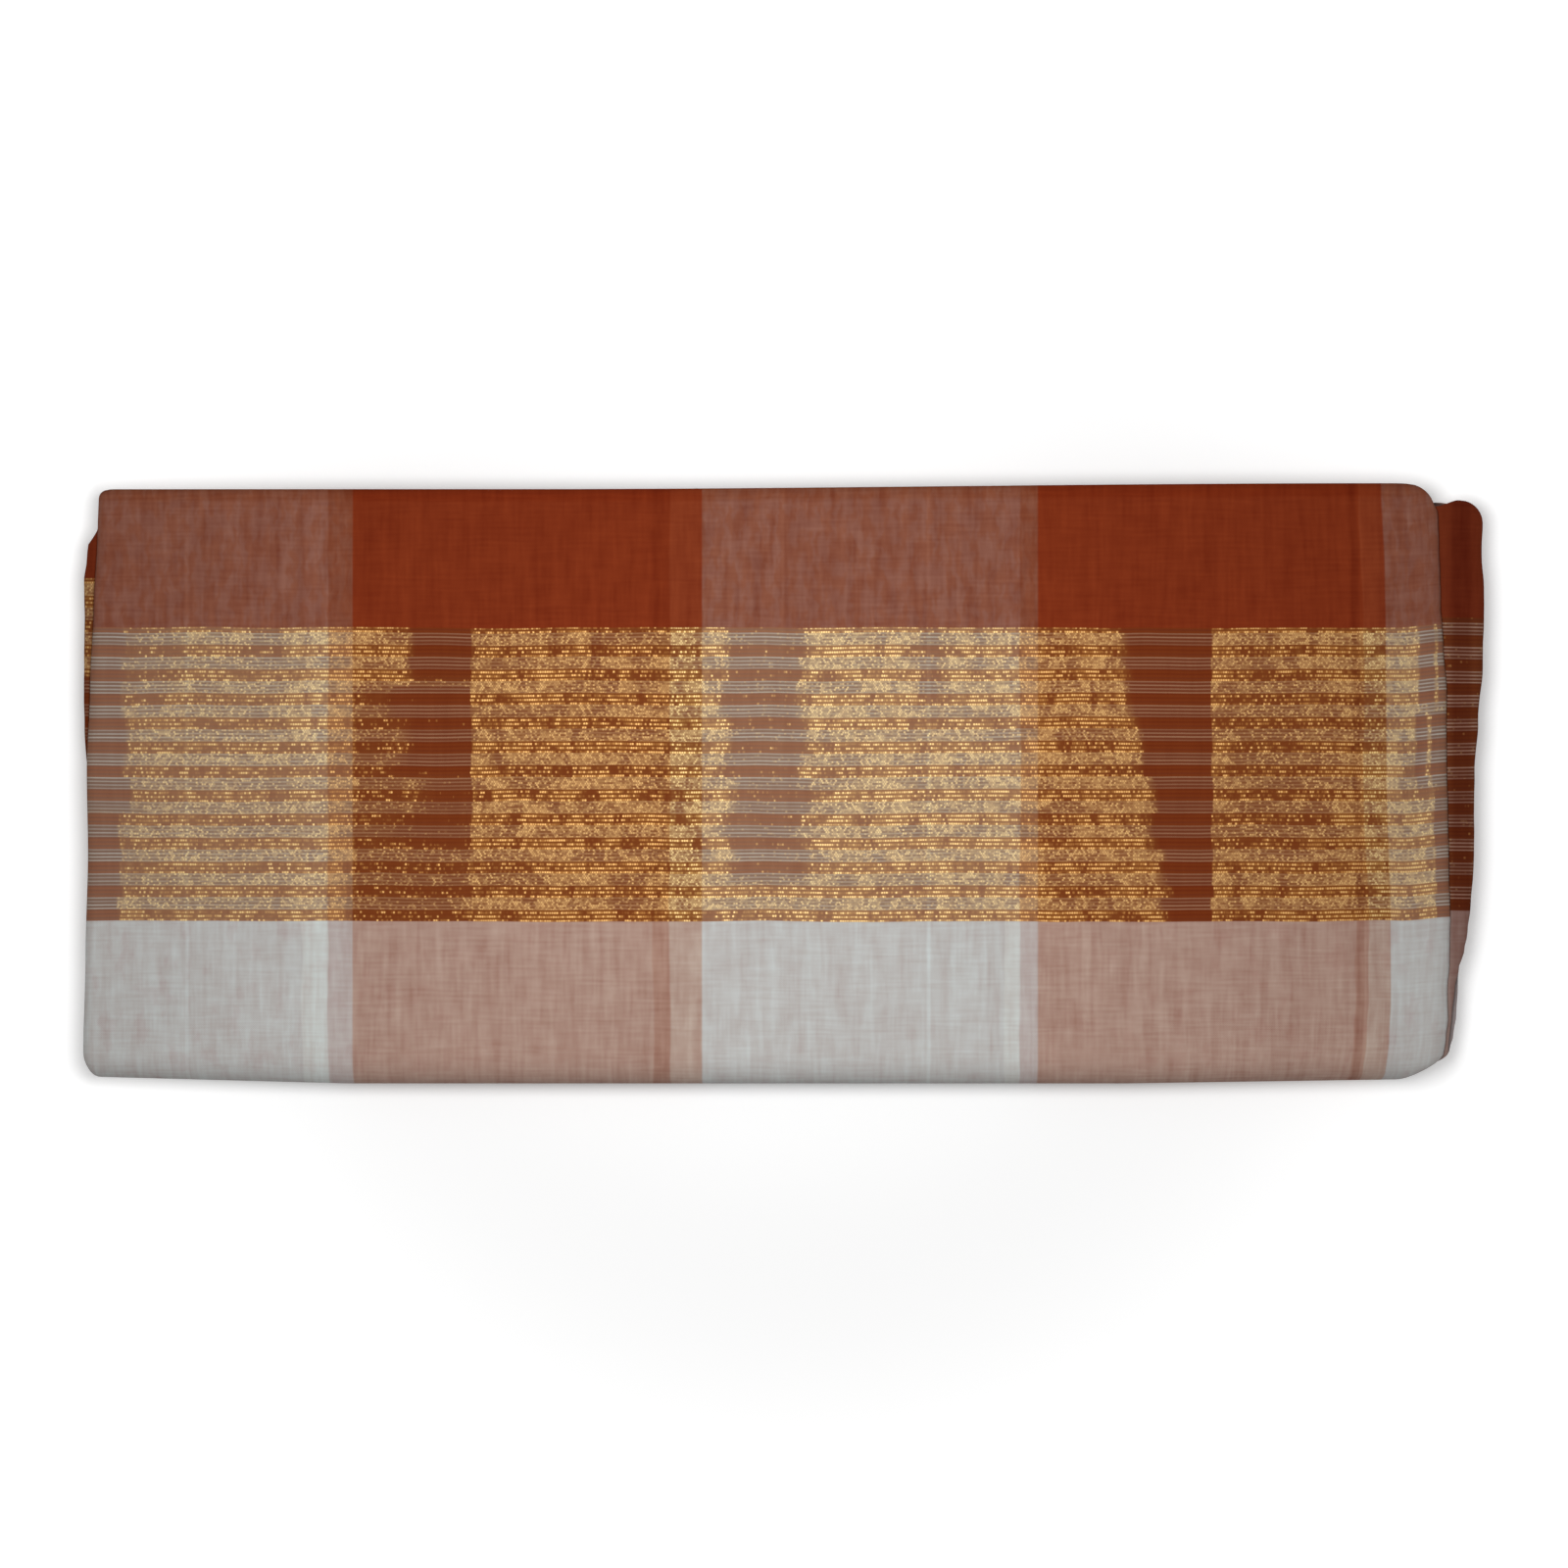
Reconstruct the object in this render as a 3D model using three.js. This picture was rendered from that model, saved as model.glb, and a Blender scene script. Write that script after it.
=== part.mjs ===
// A saree folded to a flat bundle.
//
// The cloth is halved across its width, folded to and fro along its length, and closed like a
// book, so that each ply lies in an upper leaf, turns round one long spine fold and lies in a
// lower leaf. Every piece is placed by three numbers: x along the bundle, the distance along
// the ply from the upper leaf's open edge, and the height off the plane between the leaves.
//
// Millimetres. The origin is on the surface under the middle of the bundle, +X runs along the
// bundle, +Y points to the open long side and +Z points up.
import * as THREE from 'three';

// Driving dimensions
const BUNDLE_WIDTH = 292.8;
const BUNDLE_THICKNESS = 22;
const CLOTH_WALL = 1.2;
const PLY_GAP = 0.3;

// The spine fold is softer than a half round: it stands out further than it is high
const SPINE_REACH = 15.8;
const SPINE_LENGTH = 43;
const SPINE_STEPS = 10;

// The rolled ends of the outer panel, turned down over the layers below
const LEFT_ROLL = 5;
const RIGHT_ROLL = 9;
const ROLL_TIP_HEIGHT = 7.6;
const ROLL_STEPS = 4;

// The plan's corners at the open side, and how far the ends draw in on the spine fold
const LEFT_CORNER = 5;
const RIGHT_CORNER = 14;
const LEFT_SPINE_RECESS = 5;
const RIGHT_SPINE_RECESS = 11;
const SPINE_SLIMMING = { left: 0.16, right: 0.32, over: 56 };

// How deep the under folds reach back between the layers
const FOLD_ROOT = 45;

// The loft of the upper leaf: how much lower it lies at its open side and at its ends
const OPEN_SAG = { share: 0.09, over: 46 };
const END_SAG = { share: 0.05, over: 70 };
const WAVE = { share: 0.012, length: 230, across: 160 };

const HALF_WIDTH = BUNDLE_WIDTH / 2;
const LEAF = BUNDLE_THICKNESS / 2;
const SPINE_AXIS_Y = SPINE_REACH - HALF_WIDTH;
const LEAF_RUN = HALF_WIDTH - SPINE_AXIS_Y;
const LOWER_START = LEAF_RUN + SPINE_LENGTH;
const PLY_RUN = LOWER_START + LEAF_RUN;

// The outer panel's ends, by distance along the ply
const PANEL_ENDS = [
  { along: 0, left: -334.0, right: 319.0 },
  { along: 25, left: -334.6, right: 319.2 },
  { along: 60, left: -336.4, right: 319.8 },
  { along: 100, left: -338.2, right: 320.2 },
  { along: 140, left: -339.8, right: 320.6 },
  { along: 180, left: -339.2, right: 321.0 },
  { along: 230, left: -340.4, right: 321.6 },
  { along: 277, left: -341.4, right: 323.4 },
  { along: 320, left: -340.8, right: 322.8 },
  { along: 400, left: -338.6, right: 320.4 },
  { along: 500, left: -336.8, right: 321.2 },
  { along: 597, left: -335.2, right: 322.4 },
];

// The brown fold that stands out at the right end
const RIGHT_UNDER_ENDS = [
  { along: 8, reach: 340.6 },
  { along: 20, reach: 340.9 },
  { along: 36, reach: 340.4 },
  { along: 52, reach: 341.4 },
  { along: 88, reach: 341.4 },
  { along: 116, reach: 338.6 },
  { along: 140, reach: 336.8 },
  { along: 184, reach: 336.2 },
  { along: 207, reach: 334.6 },
  { along: 219, reach: 332.2 },
  { along: 232, reach: 327.4 },
  { along: 258, reach: 325.4 },
  { along: 277, reach: 324.0 },
  { along: 320, reach: 323.0 },
  { along: 420, reach: 327.0 },
  { along: 597, reach: 333.0 },
];

// The pale fold under it, of which a sliver shows next to the spine
const RIGHT_PALE_ENDS = [
  { along: 9, reach: 327.0 },
  { along: 120, reach: 329.5 },
  { along: 200, reach: 330.6 },
  { along: 232, reach: 329.4 },
  { along: 245, reach: 328.4 },
  { along: 262, reach: 327.2 },
  { along: 277, reach: 324.6 },
  { along: 320, reach: 322.4 },
  { along: 420, reach: 325.0 },
  { along: 597, reach: 329.0 },
];

// The brick-brown fold of which a sliver shows at the left end
const LEFT_UNDER_ENDS = [
  { along: 20, reach: -336.4 },
  { along: 26, reach: -339.8 },
  { along: 34, reach: -341.2 },
  { along: 70, reach: -341.6 },
  { along: 120, reach: -341.0 },
  { along: 142, reach: -339.2 },
  { along: 170, reach: -337.0 },
  { along: 277, reach: -336.5 },
  { along: 420, reach: -337.5 },
  { along: 597, reach: -338.5 },
];

// The hidden plies' edges: a row for each height off the plane between the leaves, with how
// far the edge lies inside the panel's right, left and open edges
const LAYER_EDGES = [
  { height: 0.4, right: 6.5, left: 7.0, open: 2.8 },
  { height: 0.8, right: 4.5, left: 5.2, open: 1.2 },
  { height: 1.3, right: 4.7, left: 5.4, open: 1.3 },
  { height: 1.7, right: 7.0, left: 7.5, open: 3.4 },
  { height: 2.0, right: 46, left: 5.8, open: 3.4 },
  { height: 2.5, right: 46, left: 3.4, open: 1.8 },
  { height: 3.1, right: 46, left: 3.2, open: 1.6 },
  { height: 3.7, right: 46, left: 5.6, open: 3.8 },
  { height: 4.1, right: 46, left: 46, open: 3.8 },
  { height: 4.8, right: 46, left: 46, open: 1.6 },
  { height: 5.4, right: 46, left: 46, open: 1.4 },
  { height: 5.9, right: 46, left: 46, open: 3.6 },
  { height: 6.6, right: 46, left: 46, open: 1.0 },
  { height: 7.5, right: 46, left: 46, open: 3.2 },
  { height: 7.9, right: 6.0, left: 5.0, open: 2.8 },
  { height: 8.4, right: 4.0, left: 3.4, open: 0.9 },
  { height: 9.0, right: 5.0, left: 4.0, open: 0.8 },
  { height: LEAF - CLOTH_WALL - PLY_GAP, right: 8.6, left: 6.2, open: 2.4 },
];

// The rounded nose of an under fold: a row for each share of its thickness
const NOSE = [
  { share: 0, inset: 1.5 },
  { share: 0.14, inset: 0.5 },
  { share: 0.5, inset: 0 },
  { share: 0.86, inset: 0.5 },
  { share: 1, inset: 1.5 },
];

// Sections across the bundle between its ends, and sections along the ply
const STATIONS_X = [-278, -185, -92, 0, 88, 176, 263];
const OPEN_STEPS = [0, 1.6, 4.5, 9, 15];
const LEAF_STEPS = 8;
const UNDERSIDE_STEPS = 4;

const clamp01 = (value) => Math.min(1, Math.max(0, value));
const mix = (from, to, share) => from + (to - from) * share;

/** A smooth step from 0 at the edge to 1 at the given distance. */
function ease(distance, over) {
  const share = clamp01(distance / over);
  return share * share * (3 - 2 * share);
}

/** Reads one column of a table at a distance along the ply, smoothly between its rows. */
function readTable(rows, column, along) {
  const last = rows.length - 1;
  if (along <= rows[0].along) return rows[0][column];
  if (along >= rows[last].along) return rows[last][column];
  const next = rows.findIndex((row) => row.along > along);
  const before = rows[next - 1];
  const after = rows[next];
  const share = ease(along - before.along, after.along - before.along);
  return mix(before[column], after[column], share);
}

/** How far a rounded plan corner draws the end in, at a distance from the open edge. */
function cornerDraw(distance, radius) {
  const short = Math.max(0, radius - distance);
  return radius - Math.sqrt(Math.max(0, radius * radius - short * short));
}

/** The distance from the nearer open edge, along the ply. */
const fromOpenEdge = (along) => Math.min(along, PLY_RUN - along);

/** The turn round the spine fold: 0 on the upper leaf, PI on the lower one. */
const spineAngle = (along) => clamp01((along - LEAF_RUN) / SPINE_LENGTH) * Math.PI;

/** The outer panel's left or right end at a distance along the ply. */
function panelEnd(side, along) {
  const corner = side === 'left' ? LEFT_CORNER : RIGHT_CORNER;
  const recess = side === 'left' ? LEFT_SPINE_RECESS : RIGHT_SPINE_RECESS;
  const inward = side === 'left' ? 1 : -1;
  const onSpine = Math.sin(spineAngle(along)) ** 2;
  const draw = cornerDraw(fromOpenEdge(along), corner) + recess * onSpine;
  return readTable(PANEL_ENDS, side, along) + inward * draw;
}

/** The loft of the upper leaf as a share of its full height. */
function loft(x, y) {
  const fromLeft = x - readTable(PANEL_ENDS, 'left', 0);
  const fromRight = readTable(PANEL_ENDS, 'right', 0) - x;
  const openSag = OPEN_SAG.share * (1 - ease(HALF_WIDTH - y, OPEN_SAG.over));
  const endSag = END_SAG.share * (1 - ease(Math.min(fromLeft, fromRight), END_SAG.over));
  const waves = Math.sin((2 * Math.PI * x) / WAVE.length) * Math.cos((2 * Math.PI * y) / WAVE.across);
  const fade = ease(y - SPINE_AXIS_Y, OPEN_SAG.over);
  return 1 - openSag - fade * (endSag + WAVE.share * (1 - waves));
}

/** How far the spine fold stands out at x: it is slimmer towards the two ends. */
function spineReach(x) {
  const nearLeft = Math.max(0, 1 - (x - PANEL_ENDS[0].left) / SPINE_SLIMMING.over);
  const nearRight = Math.max(0, 1 - (PANEL_ENDS[0].right - x) / SPINE_SLIMMING.over);
  return SPINE_REACH * (1 - SPINE_SLIMMING.left * nearLeft - SPINE_SLIMMING.right * nearRight);
}

/** Places a point of the folded cloth: x, distance along the ply, height off the mid plane. */
function folded(x, along, height) {
  if (along <= LEAF_RUN) {
    const y = HALF_WIDTH - along;
    return new THREE.Vector3(x, y, LEAF + height * loft(x, y));
  }
  if (along >= LOWER_START) {
    return new THREE.Vector3(x, SPINE_AXIS_Y + along - LOWER_START, LEAF - height);
  }
  const angle = spineAngle(along);
  const out = (spineReach(x) * height) / LEAF;
  return new THREE.Vector3(x, SPINE_AXIS_Y - out * Math.sin(angle), LEAF + height * Math.cos(angle));
}

/** The sections along the ply: close together at the open corners and round the spine fold. */
function plySections() {
  const upper = [...OPEN_STEPS];
  for (let step = 1; step <= LEAF_STEPS; step += 1) {
    upper.push(mix(OPEN_STEPS.at(-1), LEAF_RUN, step / LEAF_STEPS));
  }
  const spine = [];
  for (let step = 1; step <= SPINE_STEPS; step += 1) {
    spine.push(mix(LEAF_RUN, LOWER_START, step / SPINE_STEPS));
  }
  const lower = [];
  for (let step = 1; step <= UNDERSIDE_STEPS; step += 1) {
    lower.push(mix(LOWER_START, PLY_RUN - OPEN_STEPS.at(-1), step / UNDERSIDE_STEPS));
  }
  const close = OPEN_STEPS.slice(0, -1).reverse().map((step) => PLY_RUN - step);
  return [...upper, ...spine, ...lower, ...close];
}

/** Moves the sections next to the open sides in, for a ply whose own edge lies that far inside. */
function drawIn(along, inset) {
  const zone = OPEN_STEPS.at(-1);
  const distance = fromOpenEdge(along);
  if (distance >= zone) return along;
  const moved = mix(inset, zone, distance / zone);
  return along < LEAF_RUN ? moved : PLY_RUN - moved;
}

/** The skin of a block of cells, closed on its six sides, with place(i, j, k) for each corner. */
function blockGeometry(countI, countJ, countK, place) {
  const positions = [];
  const indices = [];
  const known = new Map();
  const corner = (i, j, k) => {
    const key = (i * (countJ + 1) + j) * (countK + 1) + k;
    if (!known.has(key)) {
      known.set(key, positions.length / 3);
      positions.push(...place(i, j, k).toArray());
    }
    return known.get(key);
  };
  const quad = (a, b, c, d) => indices.push(a, c, b, a, d, c);
  for (let j = 0; j < countJ; j += 1) {
    for (let k = 0; k < countK; k += 1) {
      quad(corner(0, j, k), corner(0, j, k + 1), corner(0, j + 1, k + 1), corner(0, j + 1, k));
      const top = countI;
      quad(corner(top, j, k), corner(top, j + 1, k), corner(top, j + 1, k + 1), corner(top, j, k + 1));
    }
  }
  for (let i = 0; i < countI; i += 1) {
    for (let k = 0; k < countK; k += 1) {
      quad(corner(i, 0, k), corner(i + 1, 0, k), corner(i + 1, 0, k + 1), corner(i, 0, k + 1));
      const end = countJ;
      quad(corner(i, end, k), corner(i, end, k + 1), corner(i + 1, end, k + 1), corner(i + 1, end, k));
    }
    for (let j = 0; j < countJ; j += 1) {
      quad(corner(i, j, 0), corner(i, j + 1, 0), corner(i + 1, j + 1, 0), corner(i + 1, j, 0));
      const last = countK;
      quad(corner(i, j, last), corner(i + 1, j, last), corner(i + 1, j + 1, last), corner(i, j + 1, last));
    }
  }
  const geometry = new THREE.BufferGeometry();
  geometry.setAttribute('position', new THREE.Float32BufferAttribute(positions, 3));
  geometry.setIndex(indices);
  geometry.computeVertexNormals();
  return geometry;
}

/** The outer panel's section, as rows of how far in from an end and how high it lies. */
function rollRows(roll, side) {
  const rows = [];
  for (let step = 0; step <= ROLL_STEPS; step += 1) {
    const angle = (step / ROLL_STEPS) * (Math.PI / 2);
    const outer = {
      inset: roll * (1 - Math.cos(angle)),
      height: mix(ROLL_TIP_HEIGHT, LEAF, Math.sin(angle)),
    };
    const inner = {
      inset: CLOTH_WALL + (roll - CLOTH_WALL) * (1 - Math.cos(angle)),
      height: mix(ROLL_TIP_HEIGHT, LEAF - CLOTH_WALL, Math.sin(angle)),
    };
    rows.push({ side, outer, inner });
  }
  return rows;
}

/** The outer ply: over the top, round the spine fold and back along the underside. */
function outerPanel() {
  const sections = plySections();
  const left = rollRows(LEFT_ROLL, 'left');
  const right = rollRows(RIGHT_ROLL, 'right').reverse();
  const flatCount = STATIONS_X.length;
  const across = left.length + flatCount + right.length - 1;
  return blockGeometry(1, across, sections.length - 1, (face, station, section) => {
    const along = sections[section];
    const start = panelEnd('left', along);
    const end = panelEnd('right', along);
    const skin = face === 0 ? 'inner' : 'outer';
    if (station < left.length) {
      const row = left[station][skin];
      return folded(start + row.inset, along, row.height);
    }
    if (station >= left.length + flatCount) {
      const row = right[station - left.length - flatCount][skin];
      return folded(end - row.inset, along, row.height);
    }
    const height = face === 0 ? LEAF - CLOTH_WALL : LEAF;
    return folded(STATIONS_X[station - left.length], along, height);
  });
}

/** The hidden plies: one solid with its edges layered at both ends and at the open side. */
function innerLayers() {
  const sections = plySections();
  const lastStation = STATIONS_X.length + 1;
  return blockGeometry(LAYER_EDGES.length - 1, lastStation, sections.length - 1, (layer, station, section) => {
    const row = LAYER_EDGES[layer];
    const along = drawIn(sections[section], row.open);
    const start = panelEnd('left', along) + row.left;
    const end = panelEnd('right', along) - row.right;
    const x = [start, ...STATIONS_X, end][station];
    return folded(x, along, row.height);
  });
}

/** An under fold: a doubled ply that comes out between the layers, with a rounded nose. */
function underFold(side, ends, { bottom, top, openInset, corner, steps }) {
  const inward = side === 'left' ? 1 : -1;
  const sections = plySections().map((along) => drawIn(along, openInset));
  const turn = (station) => (side === 'left' ? steps - station : station);
  return blockGeometry(NOSE.length - 1, steps, sections.length - 1, (layer, station, section) => {
    const along = sections[section];
    const recess = (side === 'left' ? LEFT_SPINE_RECESS : RIGHT_SPINE_RECESS) * Math.sin(spineAngle(along)) ** 2;
    const draw = cornerDraw(fromOpenEdge(along) - openInset, corner) + recess + NOSE[layer].inset;
    const nose = readTable(ends, 'reach', along) + inward * draw;
    const root = panelEnd(side, along) + inward * FOLD_ROOT;
    const share = Math.sqrt(turn(station) / steps);
    return folded(mix(root, nose, share), along, mix(bottom, top, NOSE[layer].share));
  });
}

/** One named stretch of the cloth, in its own colour. */
function stretch(name, geometry, color) {
  const material = new THREE.MeshStandardMaterial({ color, roughness: 0.85, metalness: 0 });
  const mesh = new THREE.Mesh(geometry, material);
  mesh.name = name;
  return mesh;
}

const saree = new THREE.Group();
saree.add(
  stretch('outer_panel', outerPanel(), 0x9a6a4a),
  stretch('inner_layers', innerLayers(), 0xa8836f),
  stretch(
    'right_under_fold',
    underFold('right', RIGHT_UNDER_ENDS, { bottom: 4.4, top: 7.2, openInset: 8, corner: 11, steps: 3 }),
    0x6a2c18,
  ),
  stretch(
    'right_pale_fold',
    underFold('right', RIGHT_PALE_ENDS, { bottom: 2.3, top: 4.1, openInset: 5, corner: 8, steps: 3 }),
    0xb9a79b,
  ),
  stretch(
    'left_under_fold',
    underFold('left', LEFT_UNDER_ENDS, { bottom: 4.4, top: 7.2, openInset: 6, corner: 8, steps: 3 }),
    0x7a3b20,
  ),
);

export default saree;
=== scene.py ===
"""A handloom saree folded to a flat bundle, seen from straight above on a pale floor.

The folded cloth is placed by three numbers, as its solids are: x along the bundle, the distance
along the ply from the upper leaf's open edge, and the height off the plane between the leaves.
Sizes are in millimetres and turn to metres where a point is placed.
"""

from __future__ import annotations

import logging
import math
from dataclasses import dataclass
from enum import Enum

import bmesh
import bpy
import numpy as np
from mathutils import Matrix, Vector


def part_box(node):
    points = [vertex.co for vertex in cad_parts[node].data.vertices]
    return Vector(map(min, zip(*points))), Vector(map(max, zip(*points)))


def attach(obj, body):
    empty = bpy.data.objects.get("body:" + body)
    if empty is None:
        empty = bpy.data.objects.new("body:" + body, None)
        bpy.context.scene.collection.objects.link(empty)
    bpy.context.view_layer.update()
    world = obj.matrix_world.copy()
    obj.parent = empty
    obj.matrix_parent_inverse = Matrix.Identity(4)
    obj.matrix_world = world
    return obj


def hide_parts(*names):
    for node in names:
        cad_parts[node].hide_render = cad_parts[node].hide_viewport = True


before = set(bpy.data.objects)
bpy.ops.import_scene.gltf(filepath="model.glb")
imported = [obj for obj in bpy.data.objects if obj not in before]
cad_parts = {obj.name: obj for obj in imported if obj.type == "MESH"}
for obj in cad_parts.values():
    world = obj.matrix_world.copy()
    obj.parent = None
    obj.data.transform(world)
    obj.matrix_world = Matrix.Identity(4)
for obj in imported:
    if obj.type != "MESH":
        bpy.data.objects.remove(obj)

log = logging.getLogger("saree")
MM = 0.001
UV_NAME = "cloth"
Array = np.ndarray
Colour = tuple[float, ...]
Pair = tuple[Colour, Colour]
Rows = tuple[tuple[float, float], ...]
Piece = bpy.types.Object
Socket = bpy.types.NodeSocket


class Side(Enum):
    """The bundle's two short ends."""

    LEFT = "left"
    RIGHT = "right"


def smooth(value: Array | float) -> Array:
    """A smooth step from 0 to 1 as value goes from 0 to 1."""
    share = np.clip(value, 0.0, 1.0)
    return share * share * (3 - 2 * share)


def read_rows(rows: Rows, along: Array) -> Array:
    """Reads a table of places and reaches, smoothly between its rows.

    Args:
        rows: The table.
        along: The places to read at.

    Returns:
        The reach at each place.
    """
    starts = np.array([row[0] for row in rows])
    reaches = np.array([row[1] for row in rows])
    before = np.clip(np.searchsorted(starts, along, side="right") - 1, 0, len(rows) - 2)
    span = starts[before + 1] - starts[before]
    share = smooth((along - starts[before]) / span)
    return reaches[before] + (reaches[before + 1] - reaches[before]) * share


@dataclass(frozen=True)
class FoldedBundle:
    """How the cloth lies: an upper leaf, one long spine fold and a lower leaf."""

    half_width: float
    thickness: float
    spine_out: float = 15.8
    spine_length: float = 43.0
    left_corner: float = 5.0
    right_corner: float = 14.0
    left_recess: float = 2.5
    right_recess: float = 13.0
    slim_left: float = 0.2
    slim_left_over: float = 120.0
    slim_right: float = 0.14
    slim_right_over: float = 150.0
    open_draw: float = 2.9
    open_draw_over: float = 20.0
    open_draw_from: float = -130.0
    open_draw_run: float = 420.0
    lower_draw: float = 0.9
    open_sag: float = 0.09
    open_sag_over: float = 46.0
    end_sag: float = 0.05
    end_sag_over: float = 70.0
    wave_share: float = 0.012
    wave_length: float = 230.0
    wave_across: float = 160.0
    left_ends: Rows = (
        (0, -334.0), (25, -334.6), (60, -336.4), (100, -338.2), (140, -339.8), (180, -339.2),
        (230, -340.4), (277, -341.4), (320, -340.8), (400, -338.6), (500, -336.4), (575, -334.0),
        (597, -333.6),
    )
    right_ends: Rows = (
        (0, 317.4), (9.5, 317.6), (14.5, 319.0), (28, 319.1), (45, 319.6), (60, 320.1),
        (70, 321.0), (79, 321.4), (99, 322.7), (147, 323.2), (210, 324.6), (234, 324.1),
        (247, 323.4), (260, 323.5), (271, 322.4), (277, 321.4), (300, 320.6), (400, 320.4),
        (500, 320.6), (597, 318.4),
    )
    stripe_slant: Rows = (
        (0, -1.4), (45, 0.3), (70, 0.8), (140, 1.2), (215, 3.2), (250, 3.3), (270, 2.4),
        (286, 1.0), (298, -0.4), (340, 0.0), (597, 0.0),
    )

    @property
    def leaf(self) -> float:
        """The thickness of one leaf."""
        return self.thickness / 2

    @property
    def spine_axis(self) -> float:
        """The y of the line that the spine fold turns round."""
        return self.spine_out - self.half_width

    @property
    def leaf_run(self) -> float:
        """The length of ply from an open edge to the spine fold."""
        return self.half_width - self.spine_axis

    @property
    def lower_start(self) -> float:
        """The distance along the ply where the lower leaf starts."""
        return self.leaf_run + self.spine_length

    @property
    def ply_run(self) -> float:
        """The whole length of ply from open edge to open edge."""
        return self.lower_start + self.leaf_run

    def from_open_edge(self, along: Array) -> Array:
        """The distance along the ply from the nearer open edge."""
        return np.minimum(along, self.ply_run - along)

    def spine_angle(self, along: Array) -> Array:
        """The turn round the spine fold: 0 on the upper leaf, pi on the lower one."""
        return np.clip((along - self.leaf_run) / self.spine_length, 0, 1) * math.pi

    def corner_draw(self, distance: Array, radius: float) -> Array:
        """How far a rounded plan corner draws an end in, by the distance from the open edge."""
        short = np.maximum(0.0, radius - distance)
        return radius - np.sqrt(np.maximum(0.0, radius * radius - short * short))

    def recess(self, side: Side, along: Array) -> Array:
        """How far an end draws in on the spine fold."""
        deepest = self.left_recess if side is Side.LEFT else self.right_recess
        return deepest * np.sin(self.spine_angle(along)) ** 2

    def panel_end(self, side: Side, along: Array) -> Array:
        """The x of the outer ply's end.

        Args:
            side: Which end.
            along: The distances along the ply.

        Returns:
            The end's x at each distance.
        """
        rows = self.left_ends if side is Side.LEFT else self.right_ends
        corner = self.left_corner if side is Side.LEFT else self.right_corner
        inward = 1 if side is Side.LEFT else -1
        draw = self.corner_draw(self.from_open_edge(along), corner) + self.recess(side, along)
        return read_rows(rows, along) + inward * draw

    def loft(self, x: Array, y: Array) -> Array:
        """How high the upper leaf lies.

        Args:
            x: The places along the bundle.
            y: The places across it.

        Returns:
            The height as a share of the leaf's full height.
        """
        nearer = np.minimum(x - self.left_ends[0][1], self.right_ends[0][1] - x)
        open_sag = self.open_sag * (1 - smooth((self.half_width - y) / self.open_sag_over))
        end_sag = self.end_sag * (1 - smooth(nearer / self.end_sag_over))
        waves = np.sin(2 * math.pi * x / self.wave_length)
        waves = waves * np.cos(2 * math.pi * y / self.wave_across)
        fade = smooth((y - self.spine_axis) / self.open_sag_over)
        return 1 - open_sag - fade * (end_sag + self.wave_share * (1 - waves))

    def spine_reach(self, x: Array) -> Array:
        """How far the spine fold stands out, which is less towards the two ends.

        Args:
            x: The places along the bundle.

        Returns:
            The fold's reach at each place.
        """
        near_left = np.clip(1 - (x - self.left_ends[0][1]) / self.slim_left_over, 0, 1)
        near_right = np.clip(1 - (self.right_ends[0][1] - x) / self.slim_right_over, 0, 1)
        return self.spine_out * (1 - self.slim_left * near_left - self.slim_right * near_right)

    def place(self, x: Array, along: Array, height: Array) -> Array:
        """Places points of the folded cloth.

        Args:
            x: Where each point lies along the bundle.
            along: Its distance along the ply.
            height: Its height off the plane between the leaves.

        Returns:
            The points in metres, with a last axis of three.
        """
        x, along, height = np.broadcast_arrays(x, along, height)
        draw = self.open_draw * smooth(1 - (x - self.open_draw_from) / self.open_draw_run)
        along = along + draw * np.clip(1 - along / self.open_draw_over, 0, 1)
        lower_edge = np.clip(1 - (self.ply_run - along) / self.open_draw_over, 0, 1)
        along = along - (draw + self.lower_draw) * lower_edge
        angle = self.spine_angle(along)
        upper = along <= self.leaf_run
        lower = along >= self.lower_start
        out = self.spine_reach(x) * height / self.leaf
        y_spine = self.spine_axis - out * np.sin(angle)
        y_upper = self.half_width - along
        y_lower = self.spine_axis + along - self.lower_start
        y = np.where(upper, y_upper, np.where(lower, y_lower, y_spine))
        z_upper = self.leaf + height * self.loft(x, y_upper)
        z = np.where(upper, z_upper, self.leaf + height * np.cos(angle))
        return np.stack([x, y, z], axis=-1) * MM


@dataclass(frozen=True)
class RowPlan:
    """How a piece's rows follow each other along the ply, closest at the rounded corners."""

    corner: tuple[float, ...]
    corner_step: float
    upper_pitch: float
    lower_pitch: float
    spine_steps: int = 22

    def along(self, bundle: FoldedBundle, inset: float = 0.0) -> Array:
        """The rows' distances along the ply, from open edge to open edge.

        Args:
            bundle: The bundle that the piece lies in.
            inset: How far the piece's edges lie inside the open edges.

        Returns:
            The distances.
        """
        corner = inset + np.array(self.corner)
        first = corner[-1] + self.corner_step
        count = round((bundle.leaf_run - first) / self.upper_pitch)
        upper = np.linspace(first, bundle.leaf_run, count)
        spine = np.linspace(bundle.leaf_run, bundle.lower_start, self.spine_steps)[1:]
        count = round(bundle.leaf_run / self.lower_pitch)
        lower = np.linspace(bundle.lower_start, bundle.ply_run - first, count)[1:]
        return np.concatenate([corner, upper, spine, lower, (bundle.ply_run - corner)[::-1]])


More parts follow.
